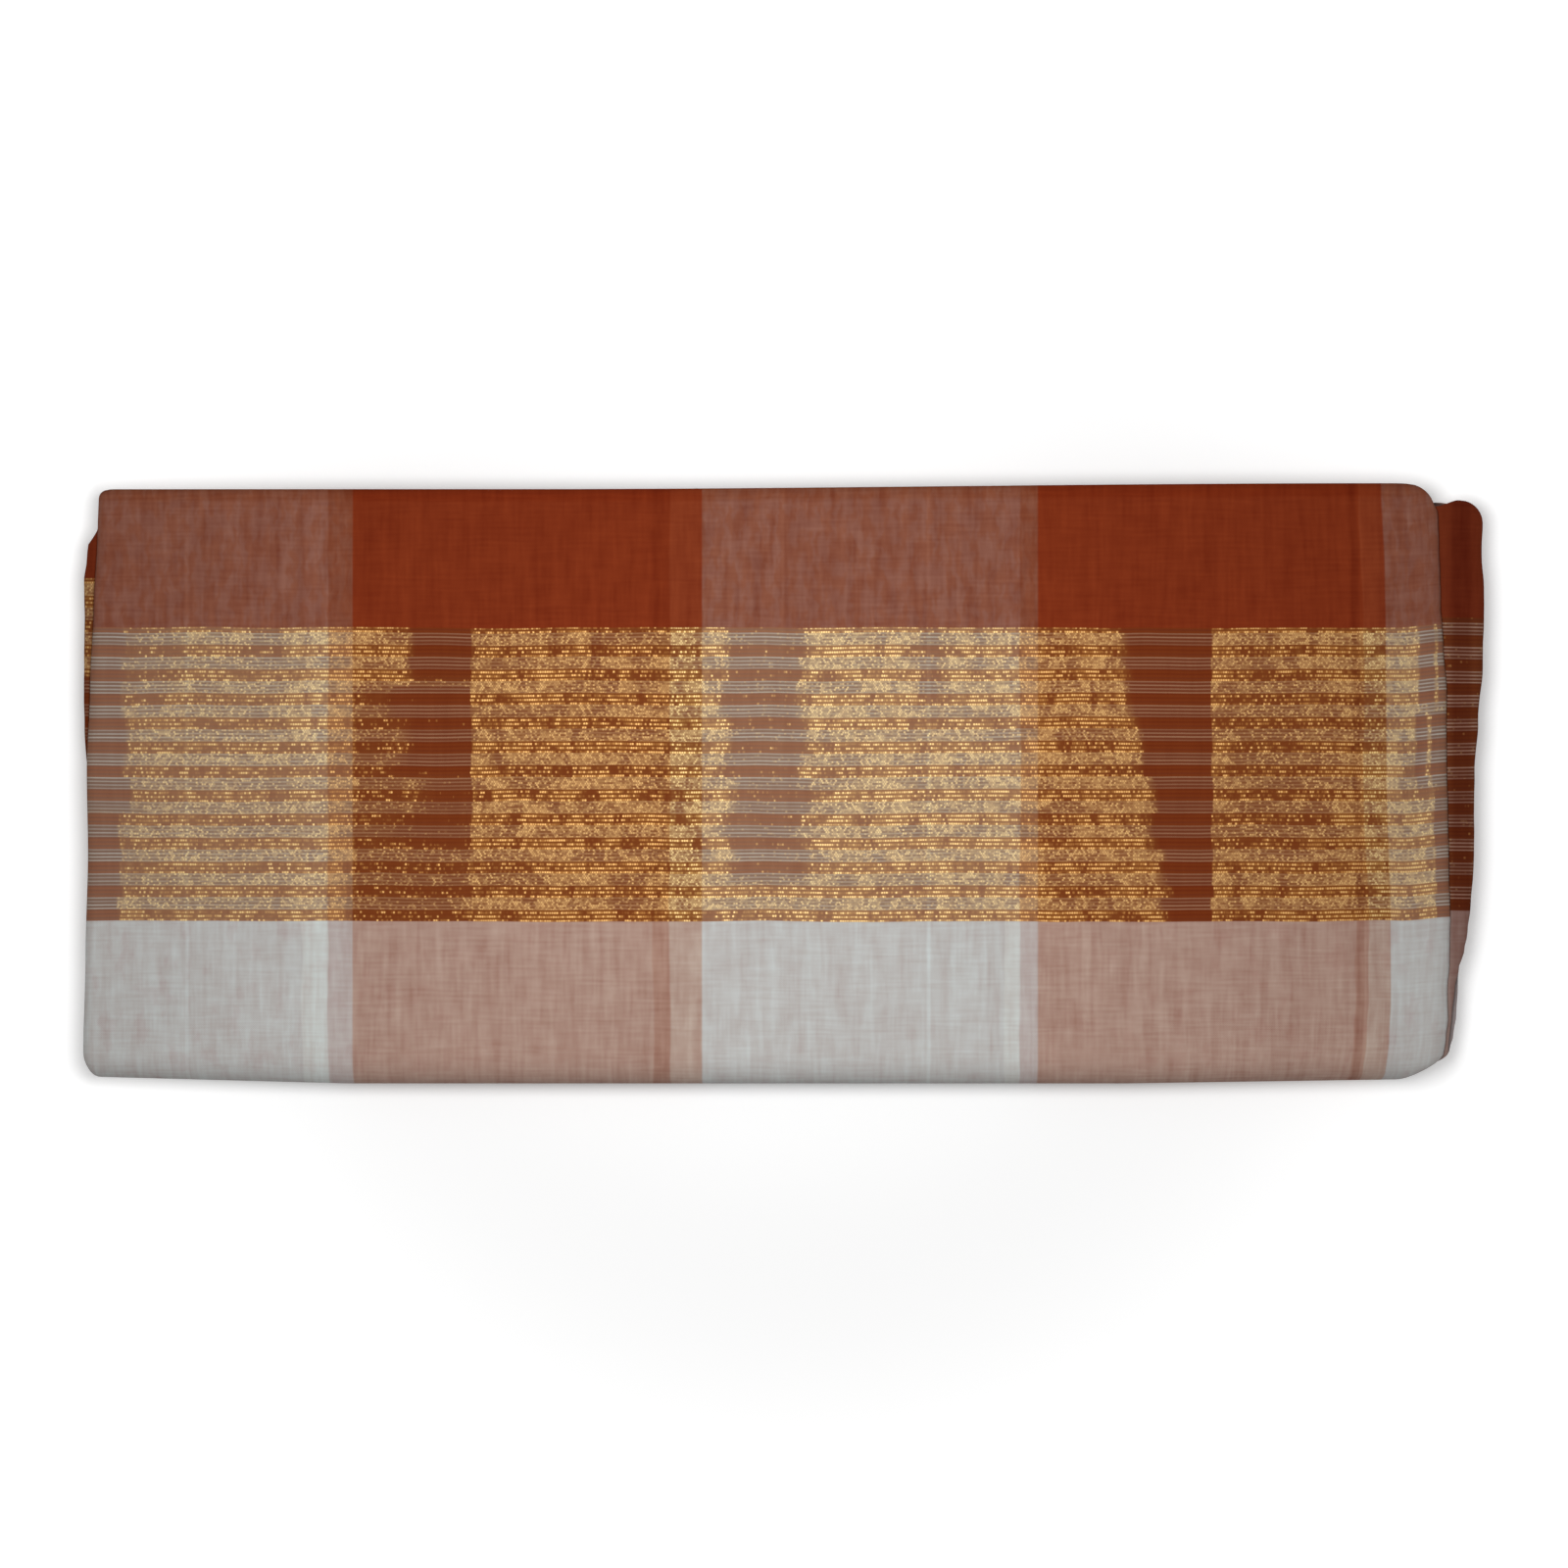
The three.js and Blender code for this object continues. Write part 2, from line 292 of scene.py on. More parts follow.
@dataclass(frozen=True)
class Crease:
    """A soft trough or ridge on a leaf: its middle, direction, size and depth, in millimetres."""

    x: float
    along: float
    turn: float
    length: float
    width: float
    depth: float
    sway: float = 0.06
    sways: float = 5.0

    def rise(self, x: Array, along: Array) -> Array:
        """How much the crease lifts each point.

        Args:
            x: The points' places along the bundle.
            along: Their distances along the ply.

        Returns:
            The lift, below zero in a trough.
        """
        turn = math.radians(self.turn)
        run = (x - self.x) * math.cos(turn) - (along - self.along) * math.sin(turn)
        across = (x - self.x) * math.sin(turn) + (along - self.along) * math.cos(turn)
        bent = across + self.sway * self.width * np.sin(run / self.length * self.sways)
        fade = smooth(1 - np.abs(run) / (self.length / 2))
        return self.depth * fade * np.exp(-((bent / self.width) ** 2))


# Each crease's x, distance along the ply, turn in degrees, length, width and depth.
CREASES = (
    Crease(-262, 120, 84, 210, 9, -0.28),
    Crease(-120, 170, 80, 160, 14, 0.30),
    Crease(-66, 60, 12, 150, 10, -0.22),
    Crease(40, 236, 3, 240, 12, -0.30),
    Crease(70, 120, 88, 200, 16, 0.26),
    Crease(168, 214, 96, 110, 8, -0.26),
    Crease(205, 90, 86, 150, 10, -0.24),
    Crease(262, 180, 93, 170, 12, 0.28),
    Crease(-210, 246, -4, 170, 9, -0.26),
    Crease(307, 120, 92, 230, 4.5, -0.75),
    Crease(296, 205, 78, 120, 6, -0.5),
    Crease(290, 60, 100, 90, 7, 0.4),
    Crease(-180, 430, 80, 190, 14, -0.25),
    Crease(30, 480, 8, 260, 12, -0.22),
    Crease(190, 420, 95, 180, 11, -0.24),
)


def crease_rise(x: Array, along: Array) -> Array:
    """The lift of all creases together at each point."""
    return sum(crease.rise(x, along) for crease in CREASES)


def wander(position: Array, seed: float, scale: float) -> Array:
    """A slow smooth wander between -1 and 1 along an edge.

    Args:
        position: The places along the edge.
        seed: A number that makes each edge its own.
        scale: The length of the longest swing.

    Returns:
        The wander at each place.
    """
    phase = position / scale * 2 * math.pi
    first = np.sin(phase + seed * 1.7)
    second = np.sin(phase * 2.3 + seed * 4.1)
    third = np.sin(phase * 4.9 + seed * 2.9)
    return (first + 0.5 * second + 0.25 * third) / 1.75


@dataclass(frozen=True)
class SheetGrid:
    """Rows and columns of points in metres, with their places on the cloth."""

    points: Array
    cloth: Array
    flip: bool = False

    def quads(self, start: int) -> Array:
        """The grid's faces.

        Args:
            start: The number of its first point.

        Returns:
            Each face's four points.
        """
        rows, columns = self.points.shape[:2]
        index = start + np.arange(rows * columns).reshape(rows, columns)
        corners = (index[:-1, :-1], index[:-1, 1:], index[1:, 1:], index[1:, :-1])
        quads = np.stack(corners, axis=-1).reshape(-1, 4)
        return quads[:, ::-1] if self.flip else quads


def build_mesh(name: str, grids: list[SheetGrid], weld: bool = False) -> Piece:
    """Makes one smooth mesh of grids.

    Args:
        name: The object's name.
        grids: The grids.
        weld: Whether points that lie together become one.

    Returns:
        The new object, at the origin.
    """
    counts = [grid.points[..., 0].size for grid in grids]
    starts = np.cumsum([0, *counts[:-1]])
    vertices = np.concatenate([grid.points.reshape(-1, 3) for grid in grids])
    uvs = np.concatenate([grid.cloth.reshape(-1, 2) for grid in grids])
    faces = np.concatenate([grid.quads(start) for grid, start in zip(grids, starts)])
    mesh = bpy.data.meshes.new(name)
    mesh.from_pydata(vertices.tolist(), [], faces.tolist())
    layer = mesh.uv_layers.new(name=UV_NAME)
    layer.data.foreach_set("uv", uvs[faces.reshape(-1)].astype(np.float32).ravel())
    if weld:
        shell = bmesh.new()
        shell.from_mesh(mesh)
        bmesh.ops.remove_doubles(shell, verts=shell.verts, dist=1e-6)
        shell.to_mesh(mesh)
        shell.free()
    mesh.polygons.foreach_set("use_smooth", np.ones(len(mesh.polygons), dtype=bool))
    mesh.update()
    piece = bpy.data.objects.new(name, mesh)
    bpy.context.scene.collection.objects.link(piece)
    return piece


def thicken(piece: Piece, wall: float) -> None:
    """Makes a sheet a thin shell.

    Args:
        piece: The sheet.
        wall: The shell's thickness, laid on inwards.
    """
    bpy.ops.object.select_all(action="DESELECT")
    piece.select_set(True)
    bpy.context.view_layer.objects.active = piece
    modifier = piece.modifiers.new("wall", "SOLIDIFY")
    modifier.thickness = wall * MM
    modifier.offset = -1.0
    modifier.use_even_offset = False
    bpy.ops.object.modifier_apply(modifier=modifier.name)


class Field:
    """A number that varies over the surface: a node's socket with arithmetic."""

    def __init__(self, bench: NodeBench, socket: Socket) -> None:
        """Wraps a socket of a node on the given bench."""
        self.bench = bench
        self.socket = socket

    def math(self, operation: str, *others: Field | float) -> Field:
        """Adds a Math node with this number first.

        Args:
            operation: The Math node's operation.
            *others: Its further inputs.

        Returns:
            The node's value.
        """
        values = {0: self, **{place + 1: other for place, other in enumerate(others)}}
        node = self.bench.node("ShaderNodeMath", {"operation": operation}, values)
        return Field(self.bench, node.outputs[0])

    def __add__(self, other: Field | float) -> Field:
        """This number plus another."""
        return self.math("ADD", other)

    __radd__ = __add__

    def __mul__(self, other: Field | float) -> Field:
        """This number times another."""
        return self.math("MULTIPLY", other)

    __rmul__ = __mul__

    def __sub__(self, other: Field | float) -> Field:
        """This number less another."""
        return self.math("SUBTRACT", other)

    def __rsub__(self, other: float) -> Field:
        """Another number less this one."""
        return self * -1.0 + other

    def __truediv__(self, other: Field | float) -> Field:
        """This number over another."""
        return self.math("DIVIDE", other)

    def floor(self) -> Field:
        """The whole number below."""
        return self.math("FLOOR")

    def fraction(self) -> Field:
        """What is over the whole number below."""
        return self.math("FRACT")

    def above(self, limit: float) -> Field:
        """1 where the number is over the limit, else 0."""
        return self.math("GREATER_THAN", limit)

    def distance(self) -> Field:
        """The number without its sign."""
        return self.math("ABSOLUTE")

    def sine(self) -> Field:
        """The number's sine."""
        return self.math("SINE")

    def most(self, other: Field | float) -> Field:
        """The greater of two numbers."""
        return self.math("MAXIMUM", other)

    def ramp(self, start: float, end: float) -> Field:
        """A smooth step over this number.

        Args:
            start: Where the step is 0.
            end: Where it is 1.

        Returns:
            The step.
        """
        settings = {"interpolation_type": "SMOOTHSTEP"}
        node = self.bench.node("ShaderNodeMapRange", settings, {0: self, 1: start, 2: end})
        return Field(self.bench, node.outputs[0])


class NodeBench:
    """Adds the nodes of one material."""

    def __init__(self, name: str) -> None:
        """Starts a material with only its output."""
        self.material = bpy.data.materials.new(name)
        self.material.use_nodes = True
        self.tree = self.material.node_tree
        self.tree.nodes.clear()

    def node(
        self,
        kind: str,
        settings: dict[str, object] | None = None,
        sockets: dict[str | int, object] | None = None,
    ) -> bpy.types.Node:
        """Adds any node.

        Args:
            kind: The node's type.
            settings: Its settings, set before its sockets.
            sockets: The value or link of each socket that isn't left as it comes.

        Returns:
            The new node.
        """
        node = self.tree.nodes.new(kind)
        for setting, value in (settings or {}).items():
            setattr(node, setting, value)
        for key, value in (sockets or {}).items():
            if isinstance(value, Field):
                self.tree.links.new(value.socket, node.inputs[key])
            elif isinstance(value, Socket):
                self.tree.links.new(value, node.inputs[key])
            else:
                node.inputs[key].default_value = value
        return node

    def mix(
        self, way: str, share: Field | float, first: Colour | Socket, second: Colour | Socket
    ) -> Socket:
        """Adds a Mix node for colours.

        Args:
            way: How the second colour is laid on the first.
            share: How much it counts.
            first: A colour or a colour's socket.
            second: A colour or a colour's socket.

        Returns:
            The mixed colour.
        """
        settings = {"data_type": "RGBA", "blend_type": way}
        return self.node("ShaderNodeMix", settings, {0: share, 6: first, 7: second}).outputs[2]

    def blend(
        self, share: Field | float, first: Colour | Socket, second: Colour | Socket
    ) -> Socket:
        """Mixes two colours: the share is the second one's."""
        return self.mix("MIX", share, first, second)

    def tint(self, share: Field | float, colour: Socket, glass: Colour | Socket) -> Socket:
        """Lays a coloured glass over a colour as far as the share goes."""
        return self.mix("MULTIPLY", share, colour, glass)

    def scale_colour(self, colour: Socket, red: Field, green: Field, blue: Field) -> Socket:
        """Makes each part of a colour lighter or darker.

        Args:
            colour: The colour.
            red: The factor of its red.
            green: The factor of its green.
            blue: The factor of its blue.

        Returns:
            The new colour.
        """
        factors = self.node("ShaderNodeCombineColor", {}, {0: red, 1: green, 2: blue}).outputs[0]
        settings = {"operation": "MULTIPLY"}
        return self.node("ShaderNodeVectorMath", settings, {0: colour, 1: factors}).outputs[0]

    def noise(self, x: Field, y: Field, detail: float = 2.0) -> Field:
        """A smooth noise around 0.5 of two numbers, about one swing for each whole step.

        Args:
            x: The first number.
            y: The second number.
            detail: How much finer noise is laid over it.

        Returns:
            The noise.
        """
        place = self.node("ShaderNodeCombineXYZ", {}, {0: x, 1: y}).outputs[0]
        sockets = {"Vector": place, "Scale": 1.0, "Detail": detail, "Roughness": 0.55}
        node = self.node("ShaderNodeTexNoise", {"noise_dimensions": "2D"}, sockets)
        return Field(self, node.outputs["Fac"])

    def scatter(self, x: Field, y: Field | float) -> Field:
        """A number by chance for each pair of whole numbers, the same each time.

        Args:
            x: The first number.
            y: The second number.

        Returns:
            The number, from 0 to 1.
        """
        place = self.node("ShaderNodeCombineXYZ", {}, {0: x, 1: y}).outputs[0]
        node = self.node("ShaderNodeTexWhiteNoise", {"noise_dimensions": "2D"}, {"Vector": place})
        return Field(self, node.outputs["Value"])


def shade(red: int, green: int, blue: int, light: float = 1.15) -> Colour:
    """A cloth's own colour from how it looks under the studio light.

    Args:
        red: The look's red, 0 to 255.
        green: Its green.
        blue: Its blue.
        light: How bright a white sheet looks under that light.

    Returns:
        The colour as Blender takes it.
    """
    parts = []
    for part in (red, green, blue):
        value = part / 255
        linear = value / 12.92 if value <= 0.04045 else ((value + 0.055) / 1.055) ** 2.4
        parts.append(linear / light)
    return (*parts, 1.0)


@dataclass(frozen=True)
class DullPatch:
    """A stretch of the border band painted as gold that doesn't catch the light, in cloth
    millimetres.
    """

    left: float
    right: float
    near: float
    far: float
    soft: float
    depth: float = 1.0
    slant: float = 0.0
    right_soft: float = 1.2
    near_soft: float = 2.0
    far_soft: float = 8.0

    def share(self, u: Field, v: Field, jitter: Field) -> Field:
        """How far this patch alone dulls the gold.

        Args:
            u: The place along the cloth.
            v: The place from the border's edge.
            jitter: Each thread's own shift, around 0.

        Returns:
            The share of dull gold.
        """
        left_place = u + jitter * self.soft
        if self.slant:
            left_place = left_place - (v - self.near) * self.slant
        right_place = u + jitter * (self.right_soft * 1.2)
        across = left_place.ramp(self.left - self.soft / 2, self.left + self.soft / 2)
        half = self.right_soft / 2
        across = across * right_place.ramp(self.right + half, self.right - half)
        deep = v.ramp(self.near - self.near_soft, self.near + self.near_soft)
        deep = deep * v.ramp(self.far + self.far_soft, self.far - self.far_soft)
        return across * deep * self.depth


@dataclass(frozen=True)
class WeftAndShadeMark:
    """A line across the cloth that is paler or darker: on the outer ply a few weft threads, on the
    under fold painted highlight and painted shade across its turn.
    """

    place: float
    width: float
    tone: float


@dataclass(frozen=True)
class ClothColours:
    """How the cloth looks under the studio light.

    The looks were fitted in rounds to mean colours read over patches of the photo. A pair is
    for pale and for brown weft. The last seven are what the plies below and the stains
    multiply a colour by.
    """

    brick_deep: Colour = shade(134, 79, 60)
    brick_pale: Colour = shade(137, 88, 73)
    brick_brown: Colour = shade(132, 56, 29)
    body: Pair = (shade(197, 197, 193), shade(181, 158, 145))
    group: Pair = (shade(134, 106, 91), shade(119, 66, 44))
    line: Pair = (shade(178, 167, 156), shade(160, 124, 102))
    gap: Pair = (shade(134, 91, 72), shade(116, 52, 24))
    # Painted light on the band: the gold unlit, lit copies of the band's colours, and the spark of
    # a glint.
    unlit_gold: Pair = (shade(148, 98, 72), shade(126, 62, 28))
    lit_group: Pair = (shade(164, 137, 111), shade(156, 112, 73))
    lit_line: Pair = (shade(226, 196, 148), shade(224, 190, 134))
    lit_gap: Pair = (shade(160, 117, 83), shade(138, 86, 44))
    lit_gold: Pair = (shade(222, 174, 112), shade(224, 172, 99))
    spark: Colour = shade(255, 226, 160)
    first_in_body: Pair = ((0.85, 0.73, 0.72, 1.0), (0.90, 0.785, 0.755, 1.0))
    first_in_border: Colour = (0.88, 0.72, 0.60, 1.0)
    second_under_brown: Pair = ((0.965, 0.94, 0.93, 1.0), (0.91, 0.81, 0.77, 1.0))
    second_under_pale: Colour = (0.90, 0.875, 0.885, 1.0)
    second_in_border: Colour = (0.96, 0.95, 0.94, 1.0)
    hem: Colour = (0.92, 0.80, 0.68, 1.0)
    smudge: Colour = (0.96, 0.90, 0.90, 1.0)


@dataclass(frozen=True)
class ThreadBand:
    """The rhythm of the border's band: a group of pale threads, then a group of gold ones.

    The sizes are millimetres across the band.
    """

    start: float = 70.4
    end: float = 213.2
    edge_soft: float = 0.4
    first_group: float = 72.9
    period: float = 11.7
    pale_width: float = 5.9
    pale_soft: float = 0.35
    pale_first: float = 0.35
    pale_pitch: float = 1.75
    gold_first: float = 1.46
    gold_pitch: float = 1.95
    dash_length: float = 1.15
    speck_pitch: float = 0.88


@dataclass(frozen=True)
class ClothFinish:
    """The saree's cloth: cross stripes, brick-red border, band of pale and gold lines, pale body.

    The cloth's own coordinates are millimetres: along the bundle, and from the border's edge.
    """

    name: str
    stripe_edges: tuple[float, ...]
    first_ply_edges: tuple[float, ...] = ()
    second_ply_edges: tuple[float, ...] = ()
    stripe_period: float = 335.0
    dull_patches: tuple[DullPatch, ...] = ()
    weft_and_shade_marks: tuple[WeftAndShadeMark, ...] = ()
    repeats: bool = False
    # How much painted glint the band's gold gets.
    glow: float = 1.0
    # Painted shade for a fold that lies under the outer ply: what its colour is multiplied by.
    depth: Colour = (1.0, 1.0, 1.0, 1.0)
    weave_pitch: float = 0.52
    selvedge: float = 6.6
    # Painted shade along the sagging open edge: how dark it is, and how far in it reaches.
    edge_painted_shade: float = 0.2
    edge_over: float = 4.2
    # Painted shade round the spine fold's turn: how dark it is, and where along the ply it rises
    # and falls.
    spine_painted_shade: float = 0.22
    spine_rise: tuple[float, float] = (279.0, 296.0)
    spine_fall: tuple[float, float] = (345.0, 300.0)
    band: ThreadBand = ThreadBand()
    colours: ClothColours = ClothColours()

    def stripes(self, along_cloth: Field, edges: tuple[float, ...]) -> Field:
        """1 on brown weft and 0 on pale weft.

        Args:
            along_cloth: The place along the cloth's length.
            edges: Where the weft changes, from pale to brown first.

        Returns:
            The share of brown.
        """
        steps = [along_cloth.ramp(edge - 0.5, edge + 0.5) for edge in edges]
        brown = steps[0]
        for number, step in enumerate(steps[1:]):
            brown = brown + step if number % 2 else brown - step
        return brown

    def repeating_stripes(self, along_cloth: Field) -> Field:
        """Even stripes of brown and pale weft for plies that show only their edges."""
        turn = (along_cloth / self.stripe_period).fraction()
        return (turn - 0.5).distance().ramp(0.252, 0.248)

    def dull(self, u: Field, v: Field, row: Field) -> Field:
        """How far the gold is painted as without light, with edges that differ from thread to
        thread.

        Args:
            u: The place along the cloth.
            v: The place from the border's edge.
            row: The number of the thread group.

        Returns:
            The share of dull gold.
        """
        bench = u.bench
        jitter = bench.scatter(row, 3.0) - 0.5
        total = bench.noise(u / 9, row * 0.42, 3.0).ramp(0.50, 0.68) * 0.50
        total = total.most(bench.noise(u / 30, v / 26, 3.0).ramp(0.50, 0.68) * 0.42)
        for patch in self.dull_patches:
            total = total.most(patch.share(u, v, jitter))
        return total

    def glints(self, u: Field, row: Field, lit: Field, even: float) -> Field:
        """Painted highlights: short lengths of thread that catch the light, each with a strength
        of its own.

        Args:
            u: The place along the cloth.
            row: The number of the thread.
            lit: How much light the gold gets here.
            even: How far neighbouring lengths share one strength, from 0 to 1.

        Returns:
            The share of bright thread.
        """
        place = u / self.band.dash_length + row * 0.5
        dash_gap = (place.fraction() - 0.5).distance().ramp(0.56, 0.16)
        run = u.bench.noise(u / 3.4, row * 1.7, 1.0).ramp(0.30, 0.70)
        own = u.bench.scatter(place.floor(), row) * (1 - even) + run * even
        shown = ((own - 1.0) / lit.most(0.02) + 1.0).ramp(0.0, 0.9)
        shown = shown * (dash_gap * 0.55 + 0.45)
        return shown * (lit.ramp(0.0, 0.6) * 0.6 + 0.4) * lit.ramp(0.0, 0.05)

    def band_colour(self, u: Field, v: Field, brown: Field) -> tuple[Socket, Field]:
        """The border's band of pale and gold threads, with painted glints and painted unlit
        patches.

        Args:
            u: The place along the cloth.
            v: The place from the border's edge.
            brown: The share of brown weft.

        Returns:
            The band's colour and the share of painted glint.
        """
        tones = self.colours
        rhythm = self.band
        bench = u.bench
        turns = (v - rhythm.first_group) / rhythm.period
        place = turns.fraction() * rhythm.period
        soft = rhythm.pale_soft
        in_gap = place.ramp(rhythm.pale_width - soft, rhythm.pale_width + soft)
        row = turns.floor() * 2.0 + place.above(rhythm.pale_width)
        pale_turn = (place - rhythm.pale_first) / rhythm.pale_pitch + 0.5
        pale_line = (pale_turn.fraction() - 0.5).distance().ramp(0.32, 0.08)
        strength = bench.scatter(row * 8.0 + pale_turn.floor(), 11.0)
        gold_turn = (v - rhythm.first_group - rhythm.gold_first) / rhythm.gold_pitch + 0.5
        gold_line = (gold_turn.fraction() - 0.5).distance().ramp(0.42, 0.12)
        cluster = bench.noise(u / 12, v / 6.5, 3.0).ramp(0.36, 0.64)

        # Painted light on the gold: glints where it is lit, its plain look in the dull patches.
        lit = (1 - self.dull(u, v, row)) * self.glow
        calm_gap = bench.blend(brown, *tones.gap)
        calm_group = bench.blend(brown, *tones.group)
        calm_gap = bench.blend(place.ramp(7.5, 12.0) * 0.5, calm_gap, calm_group)
        calm_line = bench.blend(brown, *tones.line)
        calm_group = bench.blend(pale_line * (strength * 0.6 + 0.4), calm_group, calm_line)
        unlit_gold = bench.blend(brown, *tones.unlit_gold)
        calm_gap = bench.blend(gold_line * 0.8, calm_gap, unlit_gold)
        calm = bench.blend(in_gap, calm_group, calm_gap)

        # Painted highlight: lit copies of the band's colours, and sparks on the brightest glints.
        lit_group = bench.blend(brown, *tones.lit_group)
        lit_line = bench.blend(brown, *tones.lit_line)
        lit_group = bench.blend(pale_line * 0.20, lit_group, lit_line)
        lit_gap = bench.blend(brown, *tones.lit_gap)
        bright = bench.blend(in_gap, lit_group, lit_gap)
        colour = bench.blend(lit * (cluster * 0.3 + 0.7), calm, bright)
        lit_gold = bench.blend(brown, *tones.lit_gold)
        strong = lit * (cluster * 0.65 + 0.88)
        threads = self.glints(u, gold_turn.floor(), strong, 0.35) * gold_line
        speck_row = (place / rhythm.speck_pitch).floor() + row * 9.0
        specks = self.glints(u, speck_row, strong * 0.8, 0.1) * 0.72
        shining = specks + in_gap * (threads - specks)
        colour = bench.blend(shining, colour, bench.blend(in_gap, lit_line, lit_gold))
        colour = bench.blend(shining.ramp(0.58, 0.78) * 0.5, colour, tones.spark)
        return colour, shining

    def build(self) -> bpy.types.Material:
        """Makes the material.

        Returns:
            The material.
        """
        bench = NodeBench(self.name)
        tones = self.colours
        place = bench.node("ShaderNodeUVMap", {"uv_map": UV_NAME}).outputs[0]
        parts = bench.node("ShaderNodeSeparateXYZ", {}, {0: place})
        u = Field(bench, parts.outputs[0]) * 1000.0
        v_plain = Field(bench, parts.outputs[1]) * 1000.0
        v = v_plain + (bench.noise(u / 60, v_plain / 90) - 0.5) * 1.6

        if self.repeats:
            brown = self.repeating_stripes(u)
        else:
            brown = self.stripes(u, self.stripe_edges)
        soft = self.band.edge_soft
        in_band = v.ramp(self.band.start - soft, self.band.start + soft)
        in_body = v.ramp(self.band.end - soft, self.band.end + soft)

        weft_slub = bench.noise(u / 2.1, v / 24, 3.0) - 0.5
        broad_slub = bench.noise(u / 5.5, v / 70, 2.0) - 0.5
        warp_slub = bench.noise(u / 26, v / 1.5, 2.0) - 0.5
        blotch = bench.noise(u / 8, v / 15, 3.0) - 0.5
        cloud = bench.noise(u / 55, v / 60, 3.0) - 0.5

        band, bright_gold = self.band_colour(u, v, brown)
        bend = bench.noise(u / 7, v / 9, 2.0) * 5.0
        wisps = bench.noise((u + bend) / 4.5, v / 13, 3.0).ramp(0.36, 0.64)
        brick_pale = bench.blend(wisps, tones.brick_deep, tones.brick_pale)
        brick = bench.blend(brown, brick_pale, tones.brick_brown)
        hem = v_plain.ramp(self.selvedge + 1.6, self.selvedge - 1.6)
        brick = bench.tint(hem, brick, tones.hem)
        body = bench.blend(brown, *tones.body)
        colour = bench.blend(in_band, brick, band)
        colour = bench.blend(in_body, colour, body)

        if self.first_ply_edges:
            first = self.stripes(u + cloud * 3.0, self.first_ply_edges)
            below = bench.blend(brown, *tones.first_in_body)
            through = bench.blend(in_body, tones.first_in_border, below)
            colour = bench.tint(first, colour, through)
            second = self.stripes(u + cloud * 4.0, self.second_ply_edges)
            below = bench.blend(first, *tones.second_under_brown)
            below = bench.blend(brown, tones.second_under_pale, below)
            through = bench.blend(in_body, tones.second_in_border, below)
            colour = bench.tint(second, colour, through)
        smudge = bench.noise(u / 9, v / 16, 3.0).ramp(0.52, 0.70) * (u / 340).distance() * in_body
        colour = bench.tint(smudge, colour, tones.smudge)

        in_brick = 1 - in_band
        amount = in_brick * (0.95 - brown * 0.1) + in_body * (0.28 + brown * 0.27) + in_band * 0.3
        slub = (weft_slub * 0.45 + broad_slub * 0.5 + warp_slub * 0.45 + blotch * 0.5) * amount
        # Weft lines, and on the under fold painted highlight and painted shade across its turn.
        for mark in self.weft_and_shade_marks:
            across = (u - mark.place).distance().ramp(mark.width, mark.width * 0.5)
            slub = slub + across * mark.tone
        red, green, blue = (slub * part + cloud * 0.08 + 1.0 for part in (0.62, 1.0, 1.08))
        colour = bench.scale_colour(colour, red, green, blue)

        turn = math.pi / self.weave_pitch
        weave = (u * turn).sine() * (v * turn).sine()
        # Painted shade: darker along the open edge and round the spine fold's turn; the weave's
        # own tone comes with it.
        edge = v_plain.ramp(0.0, self.edge_over) * self.edge_painted_shade + (1 - self.edge_painted_shade)
        # Painted shade round the spine fold's turn.
        turned = v_plain.ramp(*self.spine_rise) * v_plain.ramp(*self.spine_fall)
        level = (weave * 0.06 + 1.0) * edge * (1 - turned * self.spine_painted_shade)
        colour = bench.scale_colour(colour, level, level, level)
        # Painted shade of a fold that lies under the outer ply.
        if self.depth[0] < 1.0:
            colour = bench.tint(1.0, colour, self.depth)
        # The painted glints also make the gold smoother, metallic and raised.
        gold = in_band * (1 - in_body) * bright_gold
        height = weave * 0.10 + weft_slub * 0.5 + warp_slub * 0.4 + gold * 0.4
        sockets = {"Strength": 0.4, "Distance": 0.0002, "Height": height}
        bump = bench.node("ShaderNodeBump", {}, sockets)
        sockets = {"Base Color": colour, "Roughness": 0.9 - gold * 0.45, "Metallic": gold * 0.35}
        shader = bench.node("ShaderNodeBsdfPrincipled", {}, {**sockets, "Normal": bump.outputs[0]})
        shader.inputs["Sheen Weight"].default_value = 0.01
        shader.inputs["Sheen Roughness"].default_value = 0.5
        shader.inputs["Specular IOR Level"].default_value = 0.04
        bench.node("ShaderNodeOutputMaterial", {}, {0: shader.outputs[0]})
        return bench.material


